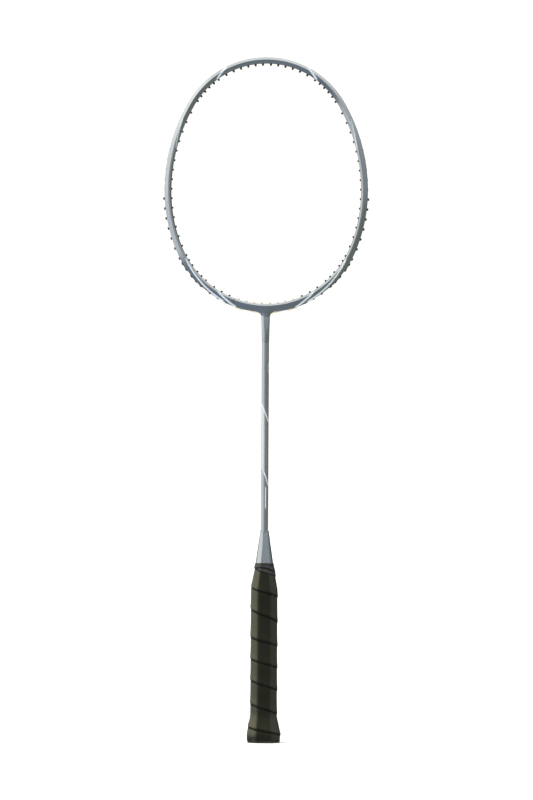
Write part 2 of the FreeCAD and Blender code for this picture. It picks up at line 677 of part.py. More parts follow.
def cone_cap():
    """Hollow cone with a V-notched rim and a lancet-shaped flat at the front and the back."""
    body = new_body("cone_cap")
    half = add_sketch(body, "cone_half", "XZ_Plane")
    slope = "(dims.cone_base_radius - dims.cone_top_radius) / (dims.cone_top_z - dims.tip_z)"
    seat_radius = f"dims.cone_base_radius - dims.cone_wall - {slope} * (dims.cone_seat_z - dims.tip_z)"
    add_polygon(half, [
        ("dims.tip_deep - dims.tenon_inset", "dims.tip_z"),
        ("dims.cone_base_radius", "dims.tip_z"),
        ("dims.cone_top_radius", "dims.cone_top_z"),
        ("dims.shaft_radius", "dims.cone_top_z"),
        ("dims.shaft_radius", "dims.cone_seat_z"),
        (seat_radius, "dims.cone_seat_z"),
    ])
    add_revolution(body, "cone", half, "V_Axis")
    notch = add_sketch(body, "rim_notch", "XZ_Plane")
    spread = "2 * dims.cone_top_radius"
    add_polygon(notch, [
        ("0 * dims.cone_notch", "dims.cone_top_z - dims.cone_notch"),
        (spread, "dims.cone_top_z + dims.cone_notch"),
        (f"-1 * {spread}", "dims.cone_top_z + dims.cone_notch"),
    ])
    add_pocket(body, "notch", notch, "3 * dims.cone_base_radius", both_ways=True)
    panels = add_sketch(body, "panel_flats", "YZ_Plane")
    for side in (1, -1):
        far = f"{side * 2} * dims.cone_base_radius"
        add_polygon(panels, [
            (f"{side} * dims.panel_base", "dims.tip_z"),
            (far, "dims.tip_z"),
            (far, "dims.cone_top_z"),
            (f"{side} * dims.panel_top", "dims.cone_top_z"),
        ])
    add_pocket(body, "panels", panels, "3 * dims.cone_base_radius", both_ways=True)
    return body


# ---------------------------------------------------------------- grommets


def grommet_pin(name, seat, height):
    """A solid grommet about +Z: nose inside the head, barrel through the tube, head outside."""
    body = new_body(name)
    half = add_sketch(body, f"{name}_half", "XZ_Plane")
    inside = "-1 * dims.tube_width / 2"
    add_polygon(half, [
        ("0 * dims.nose_length", f"{inside} - dims.nose_length"),
        ("dims.nose_radius", f"{inside} - dims.nose_length"),
        ("dims.barrel_radius", inside),
        ("dims.barrel_radius", seat),
        ("dims.cap_radius", seat),
        ("dims.cap_top_radius", f"{seat} + {height}"),
        ("0 * dims.nose_length", f"{seat} + {height}"),
    ])
    add_revolution(body, f"{name}_turned", half, "V_Axis")
    return body


def through_hole(name, radius):
    """A cylinder along +Z, long enough to go through the hoop and any grommet head."""
    hole = doc.addObject("Part::Cylinder", name)
    hole.setExpression("Radius", radius)
    hole.setExpression("Height", "2 * dims.tube_width")
    hole.setExpression("Placement.Base.z", "-1 * dims.tube_width")
    return hole


def head_length(placement, side):
    """The length from the crown to the place where a grommet comes out of the hoop."""
    head = placement.multVec(Vector(0, 0, size("dims.tube_width / 2")))
    arc = next(arc for arc in reversed(ARCS) if turn_about(arc, head, side) >= arc.first)
    return length_at(arc, turn_about(arc, head, side))


def turn_about(arc, point, side):
    """The outward normal's angle where an arc passes closest to a point."""
    return math.atan2(side * point.x - arc.centre.x, point.z - arc.centre.z)


def grommet_row(row, side_name, side, pins, string_hole, barrel_hole):
    """One row of grommets on one side, and the holes that the hoop needs for it."""
    label = f"{row.node}_{side_name}"
    lengths = row_lengths(row.prefix, row.count, row.spacing)
    wide = length_down(size("dims.wide_z"))
    leans = [share * size("dims.throat_lean") for share in row.leans] or [0.0] * row.count
    members, holes, drills, heads = [], [], [], []
    for number, (length, lean) in enumerate(zip(lengths, leans)):
        sunk = row.seat == "sunk" or (row.seat == "mixed" and length < wide)
        placement = hoop_placement(length, side, lean)
        members.append(place_copy(f"{label}_pin{number}", pins["sunk" if sunk else "proud"], placement))
        string_place = placement.multiply(string_hole.Placement)
        holes.append(place_copy(f"{label}_string{number}", string_hole, string_place))
        barrel_place = placement.multiply(barrel_hole.Placement)
        drills.append(place_copy(f"{label}_drill{number}", barrel_hole, barrel_place))
        heads.append(head_length(placement, side))
    seat = size("dims.tube_width / 2")
    if row.seat == "sunk":
        seat -= size("dims.groove_depth")
    half = size("dims.strip_half")
    for kind, spans in (("strip", row.strips), ("saddle", row.saddles)):
        end, height = size(f"dims.{kind}_end"), size(f"dims.{kind}_height")
        for number, (first, last) in enumerate(spans):
            name = f"{label}_{kind}{number}"
            start, stop = heads[first] - end, heads[last] + end
            members.append(add_band(name, start, stop, seat, seat + height, half, side))
    solid = new_group("Part::MultiFuse" if row.strips else "Part::Compound", f"{label}_solid", members)
    finished = new_cut(label, solid, new_group("Part::Compound", f"{label}_holes", holes))
    finished.Label = label
    return finished, drills


# ---------------------------------------------------------------- assembly


def build():
    """Every node of the racket, as document objects whose labels name them."""
    pins = {
        "sunk": grommet_pin("sunk_pin", "(dims.tube_width / 2 - dims.groove_depth)", "dims.sunk_height"),
        "proud": grommet_pin("proud_pin", "dims.tube_width / 2", "dims.proud_height"),
    }
    string_hole = through_hole("string_hole", "dims.string_radius")
    barrel_hole = through_hole("barrel_hole", "dims.barrel_radius")
    doc.recompute()
    rows, drills = [], []
    for row in HOLE_ROWS:
        for side_name, side in SIDES:
            finished, row_drills = grommet_row(row, side_name, side, pins, string_hole, barrel_hole)
            rows.append(finished)
            drills += row_drills
    drilled = new_group("Part::Compound", "drilled_holes", drills)
    throat_strips = new_group("Part::Compound", "throat_strips", rows[-len(SIDES):])

    t_blank = t_joint()
    joint = new_cut("t_joint", t_blank, drilled)
    tube = new_group("Part::MultiFuse", "tube_and_throat", [hollow_tube(), throat_stub()])
    bored = new_cut("throat_bored", tube, shaft_socket())
    fitted = new_cut("throat_fitted", bored, t_blank)
    half_width, depth = size("dims.tube_width / 2"), size("dims.groove_depth")
    wide = length_down(size("dims.wide_z"))
    for side_name, side in SIDES:
        groove = add_band(f"groove_{side_name}", 0, wide, half_width - depth, half_width + 1,
                          size("dims.groove_half"), side)
        fitted = new_cut(f"grooved_{side_name}", fitted, groove)
    frame = new_cut("hoop_frame", new_cut("hoop_drilled", fitted, drilled), throat_strips)
    frame.Refine = False

    grip = wound_layer("grip_tape", STATIONS, "-1 * dims.grip_layer", "0 * dims.grip_layer")
    finishing = wound_layer("finishing_tape", ["band", "tip"], "0 * dims.grip_layer", "dims.finish_layer")
    return [frame, joint, shaft(), cone_cap(), handle_core(), butt_cap(), grip, finishing] + rows


def check(nodes):
    """Stop if anything failed to build, or if a pocket ran off into empty space."""
    for item in doc.Objects:
        if "Invalid" in item.State or "Error" in item.State:
            raise RuntimeError(f"{item.Name} is {item.State}")
        if item.TypeId == "PartDesign::Pocket":
            removed = item.BaseFeature.Shape.Volume - item.Shape.Volume
            if removed < SMALLEST_POCKET:
                raise RuntimeError(f"{item.Name} removes {removed:.2f} mm3")
    for node in nodes:
        if node.Shape.isNull() or not node.Shape.isValid():
            raise RuntimeError(f"{node.Label} has no valid shape")


nodes = build()
doc.recompute()
check(nodes)
os.makedirs("parts", exist_ok=True)
for node in nodes:
    node.Shape.exportStep(f"parts/{node.Label}.step")
    box = node.Shape.BoundBox
    print(f"{node.Label}: {len(node.Shape.Solids)} solids, {node.Shape.Volume:.0f} mm3, "
          f"x {box.XMin:.1f} {box.XMax:.1f}, y {box.YMin:.1f} {box.YMax:.1f}, "
          f"z {box.ZMin:.1f} {box.ZMax:.1f}")
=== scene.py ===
import math

import bmesh
import bpy
import numpy as np
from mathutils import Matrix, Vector


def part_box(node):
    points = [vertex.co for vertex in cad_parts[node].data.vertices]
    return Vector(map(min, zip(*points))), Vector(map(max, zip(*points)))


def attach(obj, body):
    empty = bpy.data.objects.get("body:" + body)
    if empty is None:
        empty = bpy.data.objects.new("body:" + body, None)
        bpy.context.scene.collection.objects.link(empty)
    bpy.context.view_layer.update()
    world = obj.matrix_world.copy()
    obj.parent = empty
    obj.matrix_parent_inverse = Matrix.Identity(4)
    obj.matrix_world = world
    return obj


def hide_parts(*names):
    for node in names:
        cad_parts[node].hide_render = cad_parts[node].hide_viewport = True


# An unstrung badminton racket, standing on its butt in a plain white studio. Everything is in
# metres in the frame's own axes: +Z up the shaft, +X across the head, and -Y is the front.

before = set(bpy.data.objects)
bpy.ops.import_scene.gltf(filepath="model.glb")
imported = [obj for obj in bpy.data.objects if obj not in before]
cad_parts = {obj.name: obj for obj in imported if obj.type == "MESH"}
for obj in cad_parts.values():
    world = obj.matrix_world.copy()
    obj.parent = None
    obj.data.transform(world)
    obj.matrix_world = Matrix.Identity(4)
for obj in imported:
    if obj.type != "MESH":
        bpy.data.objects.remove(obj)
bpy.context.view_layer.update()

MM = 0.001

# ---------------------------------------------------------------- node and mesh helpers


def new_material(name, **sockets):
    """A material with a Principled shader, its constant values set on the shader's own sockets."""
    material = bpy.data.materials.new(name)
    material.use_nodes = True
    shader = material.node_tree.nodes["Principled BSDF"]
    for socket, value in sockets.items():
        shader.inputs[socket.replace("_", " ")].default_value = value
    return material, material.node_tree, shader


def add_node(tree, kind, inputs=None, **settings):
    """A node with its settings; inputs, by name or number, are values or sockets to link from."""
    node = tree.nodes.new(kind)
    for key, value in settings.items():
        setattr(node, key, value)
    for key, value in (inputs or {}).items():
        if isinstance(value, bpy.types.NodeSocket):
            tree.links.new(value, node.inputs[key])
        else:
            node.inputs[key].default_value = value
    return node


def math_node(tree, operation, *values):
    inputs = dict(enumerate(values))
    return add_node(tree, "ShaderNodeMath", inputs, operation=operation).outputs[0]


def map_range(tree, value, low, high, to_low=0.0, to_high=1.0):
    """A value taken evenly from one range to another, and held at the ends."""
    inputs = {0: value, 1: low, 2: high, 3: to_low, 4: to_high}
    return add_node(tree, "ShaderNodeMapRange", inputs).outputs[0]


def mix_colour(tree, factor, first, second):
    inputs = {0: factor, 6: first, 7: second}
    return add_node(tree, "ShaderNodeMix", inputs, data_type="RGBA").outputs[2]


def object_place(tree):
    """The three coordinates of the shaded point in the frame's axes."""
    place = add_node(tree, "ShaderNodeTexCoord").outputs["Object"]
    parts = add_node(tree, "ShaderNodeSeparateXYZ", {"Vector": place})
    return place, parts.outputs


NOISE_ROUGHNESS = 0.55


def noise(tree, place, scale, detail=3.0):
    inputs = {"Vector": place, "Scale": scale, "Detail": detail, "Roughness": NOISE_ROUGHNESS}
    return add_node(tree, "ShaderNodeTexNoise", inputs).outputs["Fac"]


def ramp(tree, factor, stops):
    """A colour ramp through (position, grey) or (position, colour) stops."""
    node = add_node(tree, "ShaderNodeValToRGB", {"Fac": factor})
    elements = node.color_ramp.elements
    while len(elements) < len(stops):
        elements.new(0.5)
    for element, (position, colour) in zip(elements, stops):
        element.position = position
        element.color = colour if isinstance(colour, tuple) else (colour, colour, colour, 1)
    return node.outputs["Color"]


def add_bump(tree, shader, height, distance, strength):
    inputs = {"Height": height, "Distance": distance, "Strength": strength}
    bump = add_node(tree, "ShaderNodeBump", inputs)
    tree.links.new(bump.outputs["Normal"], shader.inputs["Normal"])


def make_piece(name, vertices, faces, material, replaced=(), attributes=None):
    """A smooth mesh that rides on the racket's one body and takes its finish from a slot."""
    mesh = bpy.data.meshes.new(name)
    mesh.from_pydata([tuple(v) for v in vertices], [], [tuple(f) for f in faces])
    mesh.validate()
    for attribute, values in (attributes or {}).items():
        layer = mesh.attributes.new(attribute, "FLOAT_VECTOR", "POINT")
        layer.data.foreach_set("vector", np.asarray(values, np.float32).ravel())
    mesh.shade_smooth()
    mesh.materials.append(material)
    piece = bpy.data.objects.new(name, mesh)
    bpy.context.scene.collection.objects.link(piece)
    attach(piece, "root")
    if replaced:
        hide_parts(*replaced)
    return piece


MERGE_DISTANCE = 0.005 * MM


def fix_normals(piece):
    """Merges doubled vertices and turns every face outward."""
    work = bmesh.new()
    work.from_mesh(piece.data)
    bmesh.ops.remove_doubles(work, verts=work.verts, dist=MERGE_DISTANCE)
    bmesh.ops.dissolve_degenerate(work, edges=work.edges, dist=MERGE_DISTANCE)
    bmesh.ops.recalc_face_normals(work, faces=work.faces)
    work.to_mesh(piece.data)
    work.free()


def grid_faces(rows, columns, wrap=True):
    """Quads over a grid of vertices numbered row by row, closed into a tube if it wraps."""
    faces = []
    for i in range(rows - 1):
        for j in range(columns if wrap else columns - 1):
            here, beside = i * columns + j, i * columns + (j + 1) % columns
            faces.append((here, beside, beside + columns, here + columns))
    return faces


# ---------------------------------------------------------------- the hoop's shape

_, HOOP_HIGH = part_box("hoop_frame")
TUBE_HALF = 3.4 * MM
TUBE_HALF_DEPTH = HOOP_HIGH.y
LACQUER_INSET = 0.3 * MM
HEAD_HALF = HOOP_HIGH.x - TUBE_HALF - LACQUER_INSET
CROWN_Z = HOOP_HIGH.z - TUBE_HALF
HEEL_Z = 429.1 * MM
WIDE_Z = 543.5 * MM
CROWN_RADIUS = 85.3 * MM
HEEL_RADIUS = 92.5 * MM
HEEL_CENTRE = HEEL_Z + HEEL_RADIUS
ROUNDING_SLACK = 1e-9


def side_radius(height, end_radius):
    rise = height - end_radius
    return (rise**2 + HEAD_HALF**2 - end_radius**2) / (2 * (HEAD_HALF - end_radius))


UPPER_RADIUS = side_radius(CROWN_Z - WIDE_Z, CROWN_RADIUS)
LOWER_RADIUS = side_radius(WIDE_Z - HEEL_Z, HEEL_RADIUS)
SHOULDER_TURN = math.asin((UPPER_RADIUS - HEAD_HALF) / (UPPER_RADIUS - CROWN_RADIUS))
QUARTER_TURN = math.pi - math.asin((LOWER_RADIUS - HEAD_HALF) / (LOWER_RADIUS - HEEL_RADIUS))
# Each arc of the right half: centre x and z, radius, and the outward normal's first and last turn
# from +Z.
HOOP_ARCS = (
    (0.0, CROWN_Z - CROWN_RADIUS, CROWN_RADIUS, 0.0, SHOULDER_TURN),
    (HEAD_HALF - UPPER_RADIUS, WIDE_Z, UPPER_RADIUS, SHOULDER_TURN, math.pi / 2),
    (HEAD_HALF - LOWER_RADIUS, WIDE_Z, LOWER_RADIUS, math.pi / 2, QUARTER_TURN),
    (0.0, HEEL_CENTRE, HEEL_RADIUS, QUARTER_TURN, math.pi),
)
HALF_LENGTH = sum(radius * (last - first) for _, _, radius, first, last in HOOP_ARCS)


def hoop_point(along):
    """Centreline point and outward direction at a distance from the crown, positive to the right."""
    side = -1 if along < 0 else 1
    left = abs(along)
    for x, z, radius, first, last in HOOP_ARCS:
        if left <= radius * (last - first) + ROUNDING_SLACK:
            break
        left -= radius * (last - first)
    turn = first + left / radius
    outward = np.array([side * math.sin(turn), 0, math.cos(turn)])
    return np.array([side * x, 0, z]) + outward * radius, outward


def hoop_coordinates(points):
    """Distance from the crown round the hoop, and distance outward from the centreline.

    Everything lower than the heel counts as beside the heel's own arc.
    """
    x, z = np.abs(points[:, 0]), points[:, 2]
    along, outward = np.zeros(len(x)), np.zeros(len(x))
    start = 0.0
    for arc_x, arc_z, radius, first, last in HOOP_ARCS:
        turn = np.arctan2(x - arc_x, z - arc_z)
        inside = turn >= first
        if radius == HEEL_RADIUS:
            inside |= z < HEEL_Z
        along = np.where(inside, start + radius * (turn - first), along)
        outward = np.where(inside, np.hypot(x - arc_x, z - arc_z) - radius, outward)
        start += radius * (last - first)
    return along, outward


# The tube's section at distances from the crown, in mm: half width, outward shift of its middle,
# near and far edge of the front flat as shares of the half width, and the heights of its inner
# and outer walls as shares of the half depth.
SECTION_STATIONS = (
    (0.0, 3.10, 0.35, 0.05, 0.30, 0.35, 0.50),
    (40.0, 3.10, 0.35, 0.05, 0.30, 0.35, 0.50),
    (55.0, 3.15, 0.30, 0.00, 0.25, 0.35, 0.45),
    (105.0, 3.32, 0.10, -0.05, 0.20, 0.40, 0.45),
    (140.0, 3.40, 0.00, -0.60, -0.05, 0.50, 0.45),
    (250.0, 3.40, 0.00, -0.60, -0.05, 0.50, 0.40),
    (296.0, 3.60, 0.25, -0.55, -0.25, 0.60, 0.35),
    (312.0, 4.05, 0.75, -0.58, -0.44, 0.68, 0.30),
    (346.0, 4.05, 0.75, -0.58, -0.44, 0.68, 0.30),
)
CORNER_SHARPNESS = 5.0 / MM


def section_at(along):
    table = np.array(SECTION_STATIONS)
    half, shift, near, far, inner, outer = (
        np.interp(abs(along) / MM, table[:, 0], table[:, column]) for column in range(1, 7)
    )
    return half * MM, shift * MM, near, far, inner, outer


def section_field(u, v, section):
    """Negative inside the soft-cornered section, u outward from the centreline and v in depth."""
    half, shift, near, far, inner, outer = section
    u, v = u - shift, np.abs(v)
    planes = [(1, 0, half), (-1, 0, half), (0, 1, TUBE_HALF_DEPTH)]
    for edge, wall, way in ((far, outer, 1), (near, inner, -1)):
        run, rise = half * abs(way - edge), TUBE_HALF_DEPTH * (1 - wall)
        length = math.hypot(run, rise)
        nu, nv = way * rise / length, run / length
        planes.append((nu, nv, nu * half * edge + nv * TUBE_HALF_DEPTH))
    distances = np.stack([nu * u + nv * v - limit for nu, nv, limit in planes])
    peak = distances.max(0)
    spread = np.exp((distances - peak) * CORNER_SHARPNESS).sum(0)
    return peak + np.log(spread) / CORNER_SHARPNESS


GROOVE_HALF = 1.7 * MM
GROOVE_DEPTH = 0.8 * MM
GROOVE_END = 180.0 * MM
GROOVE_RUNOUT = 6.0 * MM
GROOVE_TAPER = 0.94
RING_POINTS = 30
SECTION_REACH = 9.0 * MM
HALVINGS = 30


def section_ring(along):
    """Closed ring of (outward, depth) points round the section, with the string groove outside."""
    section = section_at(along)
    half, shift = section[0], section[1]
    start = math.atan2(GROOVE_HALF, half)
    turns = np.linspace(start, math.pi, RING_POINTS)
    low, high = np.zeros(RING_POINTS), np.full(RING_POINTS, SECTION_REACH)
    for _ in range(HALVINGS):
        reach = (low + high) / 2
        inside = section_field(shift + reach * np.cos(turns), reach * np.sin(turns), section) < 0
        low, high = np.where(inside, reach, low), np.where(inside, high, reach)
    front = [(shift + r * math.cos(t), r * math.sin(t)) for r, t in zip(low, turns)]
    groove = GROOVE_DEPTH * np.clip((GROOVE_END - abs(along)) / GROOVE_RUNOUT, 0, 1)
    lip_u, lip_v = front[0]
    floor = [(lip_u - groove, lip_v * GROOVE_TAPER), (lip_u - groove, 0.0)]
    upper = floor[::-1] + front
    return upper + [(u, -v) for u, v in reversed(upper[1:-1])]


THROAT_REACH = 32.0 * MM
HOOP_END = HALF_LENGTH - THROAT_REACH
HOOP_STATIONS = 360


def hoop_places(vertices):
    """The attribute that the frame's stripes follow: along the hoop, outward and in depth."""
    along, outward = hoop_coordinates(vertices)
    return {"hoop": np.stack([along, outward, vertices[:, 1]], 1)}


def make_frame_piece(name, vertices, faces):
    places = hoop_places(vertices)
    piece = make_piece(name, vertices, faces, FRAME_PAINT, ("hoop_frame",), places)
    fix_normals(piece)
    return piece


def build_hoop():
    """The hoop's tube swept round the head, open where the throat piece carries it on."""
    vertices = []
    for along in np.linspace(-HOOP_END, HOOP_END, HOOP_STATIONS):
        middle, outward = hoop_point(along)
        for u, v in section_ring(along):
            vertices.append(middle + outward * u + np.array([0, v, 0]))
    vertices = np.array(vertices)
    columns = len(vertices) // HOOP_STATIONS
    faces = grid_faces(HOOP_STATIONS, columns)
    faces.append(tuple(range(columns)))
    faces.append(tuple(range((HOOP_STATIONS - 1) * columns, HOOP_STATIONS * columns)))
    make_frame_piece("hoop_tube", vertices, faces)


# ---------------------------------------------------------------- the throat

# The stub's ends and rounding, and how its half width and half depth change on the way up.
STUB_LOW = 394.0 * MM
STUB_TOP = 428.0 * MM
STUB_RADIUS = 3.55 * MM
STUB_CORNER = 3.3 * MM
STUB_TOP_ROUND = 1.9 * MM
STUB_WIDENING = 0.85 * MM
STUB_SWELL = 0.9 * MM
STUB_THINNING = 1.4 * MM
# Width of the soft fillet between stub and hoop.
BLEND = 6.0 * MM
THROAT_HALF_DEPTH = 6.0 * MM
THROAT_TOP = 442.0 * MM
THROAT_MARGIN = 1.0 * MM
THROAT_OVERLAP = 0.1 * MM
# The throat's mesh: size of its cells, and how often its vertices are pulled onto the surface.
CELL = 0.45 * MM
PULLS = 3
SLOPE_STEP = 0.02 * MM
FLAT_SLOPE = 1e-6
FLAT_SLOPE_SQUARED = 1e-9


def stub_field(x, y, z):
    """Round-ended stub: it widens evenly, swells front to back, and thins again inside the hoop."""
    rise = np.clip((z - STUB_LOW) / (STUB_TOP - STUB_LOW), 0, 1)
    half = STUB_RADIUS + STUB_WIDENING * rise
    deep = STUB_RADIUS + STUB_SWELL * np.sin(math.pi * rise) - STUB_THINNING * rise**2
    corner = np.minimum(STUB_CORNER, deep)
    out_x = np.maximum(np.abs(x) - (half - corner), 0)
    out_y = np.maximum(np.abs(y) - (deep - corner), 0)
    outside = np.hypot(out_x, out_y) - corner
    out_z = np.maximum(z - (STUB_TOP - STUB_TOP_ROUND), 0)
    return np.hypot(np.maximum(outside + STUB_TOP_ROUND, 0), out_z) - STUB_TOP_ROUND


def joined_field(x, y, z):
    """Hoop and stub run together over a soft fillet."""
    outward = np.hypot(x, z - HEEL_CENTRE) - HEEL_RADIUS
    hoop = section_field(outward, y, section_at(HALF_LENGTH))
    stub = stub_field(x, y, z)
    share = np.clip(0.5 + 0.5 * (stub - hoop) / BLEND, 0, 1)
    return stub + (hoop - stub) * share - BLEND * share * (1 - share)


def throat_field(x, y, z):
    """The joined shape, cut off where the shaft and the hoop's tube carry on."""
    turn = np.arctan2(np.abs(x), HEEL_CENTRE - z) * HEEL_RADIUS
    ends = turn - THROAT_REACH - THROAT_OVERLAP
    return np.maximum(np.maximum(joined_field(x, y, z), ends), STUB_LOW - z)


def field_slope(field, points):
    """Value of a field at each point, and its steepest direction there."""
    here = field(*points.T)
    steps = SLOPE_STEP * np.eye(3)
    slopes = [(field(*(points + step).T) - here) / SLOPE_STEP for step in steps]
    return here, np.stack(slopes, 1)


def net_vertices(values, inside):
    """Numbers of the grid cells that the surface cuts, and a spot inside each, in cells."""
    corners = [(i, j, k) for i in (0, 1) for j in (0, 1) for k in (0, 1)]
    size = [n - 1 for n in inside.shape]

    def window(array, corner):
        return array[tuple(slice(corner[i], corner[i] + size[i]) for i in range(3))]

    total = sum(window(inside, corner).astype(int) for corner in corners)
    mixed = (total > 0) & (total < len(corners))
    number = -np.ones(size, int)
    number[mixed] = np.arange(mixed.sum())
    place, weight = np.zeros((mixed.sum(), 3)), np.zeros(mixed.sum())
    for first in corners:
        for axis in range(3):
            if first[axis]:
                continue
            second = list(first)
            second[axis] = 1
            a, b = window(values, first)[mixed], window(values, second)[mixed]
            crosses = (a < 0) != (b < 0)
            share = np.where(crosses, a / np.where(a == b, 1, a - b), 0)
            spot = np.array(first, float)[None, :].repeat(len(a), 0)
            spot[:, axis] += share
            place += spot * crosses[:, None]
            weight += crosses
    return number, np.argwhere(mixed) + place / weight[:, None]


def net_faces(inside, number):
    """A quad round every grid edge that the surface cuts."""
    faces = []
    for axis in range(3):
        change = inside != np.roll(inside, -1, axis)
        change[tuple(slice(-1, None) if i == axis else slice(None) for i in range(3))] = False
        others = [i for i in range(3) if i != axis]
        spots = np.argwhere(change)
        keep = np.all([(spots[:, i] > 0) & (spots[:, i] < number.shape[i]) for i in others], 0)
        ring = []
        for steps in ((0, 0), (1, 0), (1, 1), (0, 1)):
            shifted = spots[keep].copy()
            for other, step in zip(others, steps):
                shifted[:, other] -= step
            ring.append(number[tuple(shifted.T)])
        faces.extend(np.stack(ring, 1).tolist())
    return faces


def surface_nets(field, low, high):
    """Quad mesh of the zero surface of a field, its vertices pulled onto the surface."""
    axes = [np.arange(low[i], high[i] + CELL, CELL) for i in range(3)]
    values = field(*np.meshgrid(*axes, indexing="ij"))
    inside = values < 0
    number, spots = net_vertices(values, inside)
    points = spots * CELL + np.array(low)
    for _ in range(PULLS):
        here, slope = field_slope(field, points)
        steepness = (slope**2).sum(1) + FLAT_SLOPE_SQUARED
        points = points - np.clip(here / steepness, -CELL, CELL)[:, None] * slope
    return points, net_faces(inside, number)


def build_throat():
    """The throat as one smooth shell, shaded with the joined shape's own normals."""
    reach = THROAT_REACH + THROAT_MARGIN
    low = (-reach, -THROAT_HALF_DEPTH, STUB_LOW - THROAT_MARGIN)
    high = (reach, THROAT_HALF_DEPTH, THROAT_TOP)
    vertices, faces = surface_nets(throat_field, low, high)
    piece = make_frame_piece("throat", vertices, faces)
    points = np.array([vertex.co for vertex in piece.data.vertices])
    _, slope = field_slope(joined_field, points)
    normals = slope / np.maximum(np.linalg.norm(slope, axis=1), FLAT_SLOPE)[:, None]
    piece.data.normals_split_custom_set_from_vertices(normals.tolist())


# Spans of the pale strips under the hoop, in mm from the throat's middle along it.
PALE_SPANS = ((6.3, 14.6), (20.3, 29.6))
PALE_THICKNESS = 1.1 * MM
PALE_HALF_DEPTH = 1.2 * MM
# Their section: height above the hoop's underside, and share of the half depth.
PALE_SECTION = ((-0.5 * MM, 1.0), (0.6 * PALE_THICKNESS, 1.0), (PALE_THICKNESS, 0.6))
# The order of its six corners round the section: up the back, then down the front.
PALE_RING = (0, 2, 4, 5, 3, 1)
PALE_STATIONS = 13
SKIN_SEARCH = np.linspace(2.0, 16.0, 281) * MM


def throat_surface(turn):
    """Distance outward from the heel arc's centreline to the throat's underside at a turn."""
    reach = HEEL_RADIUS + SKIN_SEARCH
    x, z = reach * math.sin(turn), HEEL_CENTRE - reach * math.cos(turn)
    inside = joined_field(x, np.zeros_like(x), z) < 0
    return SKIN_SEARCH[np.argmin(inside)]


def build_pale_strips():
    """The pale grommet strips that lie on the hoop's underside, left and right of the throat."""
    corners = len(PALE_RING)
    vertices, faces = [], []
    for side in (-1, 1):
        for first, last in PALE_SPANS:
            start = len(vertices)
            for along in np.linspace(first, last, PALE_STATIONS) * MM:
                turn = along / HEEL_RADIUS
                skin = throat_surface(turn)
                for lift, share in PALE_SECTION:
                    reach = HEEL_RADIUS + skin + lift
                    x, z = side * reach * math.sin(turn), HEEL_CENTRE - reach * math.cos(turn)
                    vertices += [(x, share * PALE_HALF_DEPTH, z), (x, -share * PALE_HALF_DEPTH, z)]
            for station in range(PALE_STATIONS - 1):
                here, ahead = start + station * corners, start + (station + 1) * corners
                for a, b in zip(PALE_RING, PALE_RING[1:] + PALE_RING[:1]):
                    faces.append((here + a, here + b, ahead + b, ahead + a))
            for end in (start, start + (PALE_STATIONS - 1) * corners):
                faces.append(tuple(end + corner for corner in PALE_RING))
    piece = make_piece("pale_strips", vertices, faces, PALE_NYLON)
    fix_normals(piece)
    piece.data.shade_flat()


# ---------------------------------------------------------------- materials


def band_mask(tree, value, low, high, soft):
    """1 where a value lies between two limits, with soft edges."""
    rise = map_range(tree, value, low - soft, low + soft)
    fall = map_range(tree, value, high + soft, high - soft)
    return math_node(tree, "MULTIPLY", rise, fall)


STRIPE_EDGE = 0.2
STRIPE_END = 1.5 * MM


def stripe_mask(tree, along, outward, start, end, half, strength):
    """A straight stripe from one spot to another, in mm, over two coordinates of the surface."""
    slope = (end[1] - start[1]) / (end[0] - start[0])
    line = math_node(tree, "MULTIPLY_ADD", along, -slope, slope * start[0] * MM - start[1] * MM)
    offset = math_node(tree, "ADD", outward, line)
    across = math_node(tree, "ABSOLUTE", offset)
    body = map_range(tree, across, (half + STRIPE_EDGE) * MM, (half - STRIPE_EDGE) * MM)
    length = band_mask(tree, along, start[0] * MM, end[0] * MM, STRIPE_END)
    return math_node(tree, "MULTIPLY", math_node(tree, "MULTIPLY", body, length), strength)


def all_stripes(tree, along, outward, stripes):
    """The strongest of several stripes at each place."""
    total = 0.0
    for stripe in stripes:
        total = math_node(tree, "MAXIMUM", stripe_mask(tree, along, outward, *stripe), total)
    return total


PAINT = {"Metallic": 1.0, "Roughness": 0.2}
PAINT_DARK = (0.45, 0.487, 0.525, 1)
PAINT_LIGHT = (0.48, 0.517, 0.555, 1)
FLAKE_SCALE = 2500.0
WHITE_PAINT = (0.54, 0.60, 0.66, 1)
WHITE_METAL_LOSS = 0.9


def pearl_paint(tree, place):
    """Base colour of the metallic lacquer, a touch uneven from its flake."""
    flake = noise(tree, place, FLAKE_SCALE, 2.0)
    return ramp(tree, flake, ((0.3, PAINT_DARK), (0.7, PAINT_LIGHT)))


def add_white_paint(tree, shader, colour, mask):
    """White enamel over the metallic lacquer where a mask says so."""
    colour = mix_colour(tree, mask, colour, WHITE_PAINT)
    tree.links.new(colour, shader.inputs["Base Color"])
    metal = math_node(tree, "SUBTRACT", 1.0, math_node(tree, "MULTIPLY", mask, WHITE_METAL_LOSS))
    tree.links.new(metal, shader.inputs["Metallic"])


def speckles(tree, place, scale, low, high):
    """Fine dots: 1 in a dot and 0 between them."""
    return ramp(tree, noise(tree, place, scale, 1.0), ((low, 0.0), (high, 1.0)))


def add_tint(tree, colour, field, mask, strength, tint):
    """Another colour laid over a colour where a field and a mask overlap."""
    share = math_node(tree, "MULTIPLY", math_node(tree, "MULTIPLY", field, mask), strength)
    return mix_colour(tree, share, colour, tint)


# Diagonal stripes on each half of the hoop, in mm: where the stripe's middle starts and ends as
# (distance from the crown, distance outward), its half width across, and its strength.
HOOP_STRIPES = (
    ((40.0, 3.3), (54.5, -2.6), 0.95, 1.0),
    ((107.0, 1.1), (136.0, -2.3), 0.60, 0.6),
    ((250.0, -1.7), (306.0, 3.6), 0.75, 1.0),
    ((296.0, -2.2), (319.0, 4.6), 0.90, 1.0),
)
